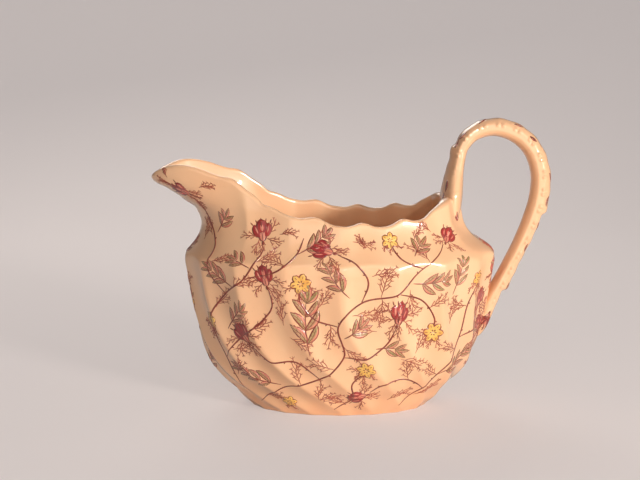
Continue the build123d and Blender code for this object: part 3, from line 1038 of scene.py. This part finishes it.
def handle_mark(share, round_deg, way, size, kind):
    """A motif on the handle, at a share of its length and an angle from its outer edge."""
    left = share * handle_length
    for here, after in zip(handle_middle, handle_middle[1:]):
        step = (after - here).length
        if left < step:
            break
        left -= step
    tangent = (after - here).normalized()
    outward = Vector((-tangent.z, 0, tangent.x))
    off = math.radians(round_deg)
    facing = outward * math.cos(off) + Vector((0, math.sin(off), 0))
    place = handle_tree.find_nearest(here + tangent * left + facing * 10 * MM)[0]
    lean = math.radians(way)
    return place, tangent * math.cos(lean) + tangent.cross(facing) * math.sin(lean), size, kind


def motif_points(name, marks):
    """One vertex for each motif, with its kind, its size and the way its top points."""
    places, ways, sizes, kinds = [], [], [], []
    for place, way, size, kind in marks:
        places.append(place)
        ways.extend(way)
        sizes.append(size * MM)
        kinds.append(kind)
    mesh = bpy.data.meshes.new(name)
    mesh.from_pydata(places, [], [])
    mesh.attributes.new("way", "FLOAT_VECTOR", "POINT").data.foreach_set("vector", ways)
    mesh.attributes.new("size", "FLOAT", "POINT").data.foreach_set("value", sizes)
    mesh.attributes.new("kind", "INT", "POINT").data.foreach_set("value", kinds)
    return mesh


def print_inks(surface, prefix, marks):
    """One piece for each ink, with all the motifs' parts in that ink."""
    tree = motif_rule()
    for ink, (name, material, slot) in INKS.items():
        shapes = bpy.data.collections.new(ink + "_motifs")
        for i, pads in enumerate((leaf_pads, bloom_pads, star_pads)):
            mesh = pad_mesh(f"{i}_{ink}", pads(ink))
            shapes.objects.link(bpy.data.objects.new(mesh.name, mesh))
        piece = run_rule(prefix + name, tree, {"Surface": surface, "Motifs": shapes, "Ink": material},
                         motif_points(prefix + name + "_points", marks))
        for item in list(shapes.objects):
            bpy.data.objects.remove(item)
        bpy.data.collections.remove(shapes)
        if not piece.data.polygons:
            bpy.data.objects.remove(piece)
            continue
        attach(piece, "root")


INKS = {
    "outline": ("outlines", mulberry, "print_stem"),
    "red": ("rosebuds", ink_material(
        "crimson_ink", (0.46, 0.035, 0.030, 1), (0.26, 0.012, 0.018, 1), 260.0), "print_rose"),
    "pink": ("highlights", ink_material(
        "pale_pink_ink", (0.76, 0.30, 0.20, 1), (0.62, 0.17, 0.11, 1), 260.0), "print_rose"),
    "leaf": ("leaves", ink_material(
        "leaf_ink", (0.34, 0.29, 0.10, 1), (0.66, 0.34, 0.20, 1), 130.0), "print_leaf"),
    "yellow": ("blossoms", ink_material(
        "yellow_ink", (0.86, 0.54, 0.14, 1), (0.82, 0.40, 0.08, 1), 200.0), "print_yellow"),
    "detail": ("veins", mulberry, "print_stem"),
}
handle_tree = BVHTree.FromPolygons([v.co for v in handle.data.vertices],
                                   [p.vertices for p in handle.data.polygons])
handle_marks = []
for side in (FRONT, BACK):
    handle_marks.append(handle_mark(0.93, side * 66, 0, 6.6, BLOOM))
    handle_marks.append(handle_mark(0.045, side * 100, 180, 5.4, BLOOM))
    for share, way, size in ((0.10, 160, 5.0), (0.135, 200, 4.2), (0.22, 20, 3.4), (0.255, 150, 4.4),
                             (0.29, 40, 3.8), (0.37, 10, 3.4), (0.44, 200, 3.2), (0.52, 20, 3.4),
                             (0.60, 170, 3.6), (0.645, 20, 3.0), (0.73, 190, 3.0), (0.82, 10, 3.6)):
        handle_marks.append(handle_mark(share, side * 40, way * side, size, LEAF))
print_inks(outer_skin, "print_", [
    body_mark(place, way, size, kind) for place, way, size, kind in leaves + heads
    if below_rim(*place) > 0.5 + 0.3 * size])
print_inks(handle, "handle_", handle_marks)
bpy.data.objects.remove(outer_skin)

# ---- Floor, light and camera ------------------------------------------------------
# The jug stands on a plain pale studio floor that curves up behind it. A small key lamp
# low on the right draws the long highlights, and wide soft lamps fill in from the left
# and from behind.
FLOOR_HALF, FLOOR_FRONT, SWEEP_START, SWEEP_RADIUS, WALL_TOP = 20.0, -20.0, 0.45, 0.7, 4.0
sweep = [(FLOOR_FRONT, 0.0)]
for step in range(25):
    bend = math.radians(90 * step / 24)
    sweep.append((SWEEP_START + SWEEP_RADIUS * math.sin(bend), SWEEP_RADIUS * (1 - math.cos(bend))))
sweep.append((SWEEP_START + SWEEP_RADIUS, WALL_TOP))
floor_mesh = bpy.data.meshes.new("studio_floor")
floor_mesh.from_pydata(
    [(x, y, z) for y, z in sweep for x in (-FLOOR_HALF, FLOOR_HALF)], [],
    [(2 * i, 2 * i + 1, 2 * i + 3, 2 * i + 2) for i in range(len(sweep) - 1)])
floor_mesh.shade_smooth()
floor = add_object("studio_floor", floor_mesh)
floor_material = bpy.data.materials.new("pale_floor")
floor_material.use_nodes = True
floor_nodes = floor_material.node_tree
floor_surface = floor_nodes.nodes["Principled BSDF"]
floor_surface.inputs["Base Color"].default_value = (0.80, 0.74, 0.72, 1)
floor_surface.inputs["Roughness"].default_value = 0.9
seen = Wire(floor_nodes, floor_nodes.nodes.new("ShaderNodeLightPath").outputs["Is Camera Ray"])
pale = seen.make("ShaderNodeEmission", None, {"Color": (0.80, 0.72, 0.70, 1), "Strength": 1.0})
plain = Wire(floor_nodes, floor_surface.outputs[0])
backdrop = seen.make("ShaderNodeMixShader", None, {0: seen * 0.5, 1: plain, 2: pale})
backdrop.into(floor_nodes.nodes["Material Output"], "Surface")
floor_mesh.materials.append(floor_material)

world = bpy.data.worlds.new("studio")
world.use_nodes = True
world_nodes = world.node_tree
world_nodes.nodes["Background"].inputs["Color"].default_value = (0.80, 0.77, 0.76, 1)
world_nodes.nodes["Background"].inputs["Strength"].default_value = 0.22
beyond = Wire(world_nodes, world_nodes.nodes.new("ShaderNodeLightPath").outputs["Is Camera Ray"])
far = beyond.make("ShaderNodeBackground", None, {"Color": (0.48, 0.42, 0.41, 1), "Strength": 1.0})
sky = Wire(world_nodes, world_nodes.nodes["Background"].outputs[0])
outlook = beyond.make("ShaderNodeMixShader", None, {0: beyond, 1: sky, 2: far})
outlook.into(world_nodes.nodes["World Output"], "Surface")
bpy.context.scene.world = world


def soft_box(name, place, aim, size, watts, spread=180):
    """A warm rectangular lamp that faces a point, and shines over a spread in degrees."""
    lamp = bpy.data.lights.new(name, "AREA")
    lamp.shape = "RECTANGLE"
    lamp.size, lamp.size_y = size
    lamp.energy = watts
    lamp.spread = math.radians(spread)
    lamp.color = (1.0, 0.94, 0.87)
    item = add_object(name, lamp)
    item.location = place
    item.rotation_euler = (Vector(aim) - Vector(place)).to_track_quat("-Z", "Y").to_euler()


jug_middle = (0.0, 0.0, 0.05)
soft_box("key", (0.50, -0.56, 0.16), (0, 0, 0.07), (0.14, 0.09), 1.0, 80)
soft_box("fill", (-0.20, -0.80, 0.45), jug_middle, (0.7, 0.5), 1.0)
soft_box("rim", (-0.15, 0.50, 0.48), jug_middle, (0.4, 0.3), 1.5)
soft_box("spark", (0.10, -0.60, 0.17), jug_middle, (0.022, 0.016), 0.55)

VIEW_DISTANCE, VIEW_RISE, VIEW_SIDE, VIEW_HEIGHT = 0.420, 8.5, -6.74, 0.0581
view_target = Vector(((VIEW_SIDE + BOWL_X) * MM, 0, VIEW_HEIGHT))
lens = bpy.data.cameras.new("camera")
lens.lens = 68.0
lens.sensor_width = 36.0
lens.clip_start = 0.01
eye = add_object("camera", lens)
rise = math.radians(VIEW_RISE)
eye.location = view_target + Vector((0, -math.cos(rise), math.sin(rise))) * VIEW_DISTANCE
eye.rotation_euler = (view_target - eye.location).to_track_quat("-Z", "Y").to_euler()
bpy.context.scene.camera = eye
bpy.context.scene.view_settings.view_transform = "Standard"
